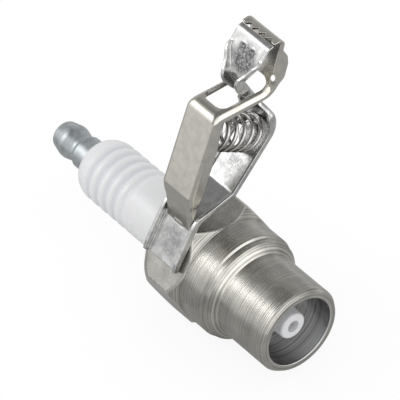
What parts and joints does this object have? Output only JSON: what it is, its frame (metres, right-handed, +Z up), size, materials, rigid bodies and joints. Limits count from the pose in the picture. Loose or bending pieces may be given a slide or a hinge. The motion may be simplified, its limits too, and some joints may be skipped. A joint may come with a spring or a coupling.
{
  "type": "spark plug tester",
  "caption": "Ignition spark tester: a spark plug with a smooth open nose and a ribbed white insulator, and a nickel-plated spring clip welded to its hexagon.",
  "frame": {"origin": "centre of the hexagon's flat that the plug lies on, on that flat", "axes": "+X along the plug from the terminal to the open nose, +Y across the plug towards the side that the clip leans to, +Z up"},
  "size_m": [0.0652, 0.0255, 0.0549],
  "materials": {
    "nickel_steel": "turned steel with a dull nickel plating",
    "glazed_white": "glossy white glaze",
    "copper": "plain copper",
    "dark_steel": "plain steel",
    "talc": "pressed powder",
    "glass_seal": "glass fused with metal powder",
    "carbon": "carbon and ceramic rod",
    "zinc_steel": "blue-grey zinc plating",
    "clip_steel": "bright nickel-plated steel sheet",
    "spring_steel": "nickel-plated spring wire"
  },
  "bodies": {
    "plug": {"shell": "nickel_steel", "insulator": "glazed_white", "inner_gasket": "copper", "lower_packing_ring": "dark_steel", "talc_packing": "talc", "upper_packing_ring": "dark_steel", "centre_electrode": "dark_steel", "electrode_core": "copper", "lower_glass_seal": "glass_seal", "suppressor": "carbon", "upper_glass_seal": "glass_seal", "terminal_stud": "zinc_steel", "fixed_lever": "clip_steel", "weld_nuggets": "dark_steel", "clip_spring": "spring_steel"},
    "nut": {"terminal_nut": "zinc_steel"},
    "lever": {"moving_lever": "clip_steel"}
  },
  "joints": [
    {"name": "lever_pivot", "type": "hinge", "parent": "plug", "child": "lever", "pos_m": [-0.0004, -0.00584, 0.02224], "axis": [-1, 0, 0], "range_deg": [0, 7], "stiffness_Nm_per_rad": 0.69, "springref_deg": -25.78, "deforming": ["clip_spring"]},
    {"name": "nut_unscrew", "type": "slide", "parent": "plug", "child": "nut", "axis": [-1, 0, 0], "range_m": [0, 0.0085]}
  ]
}
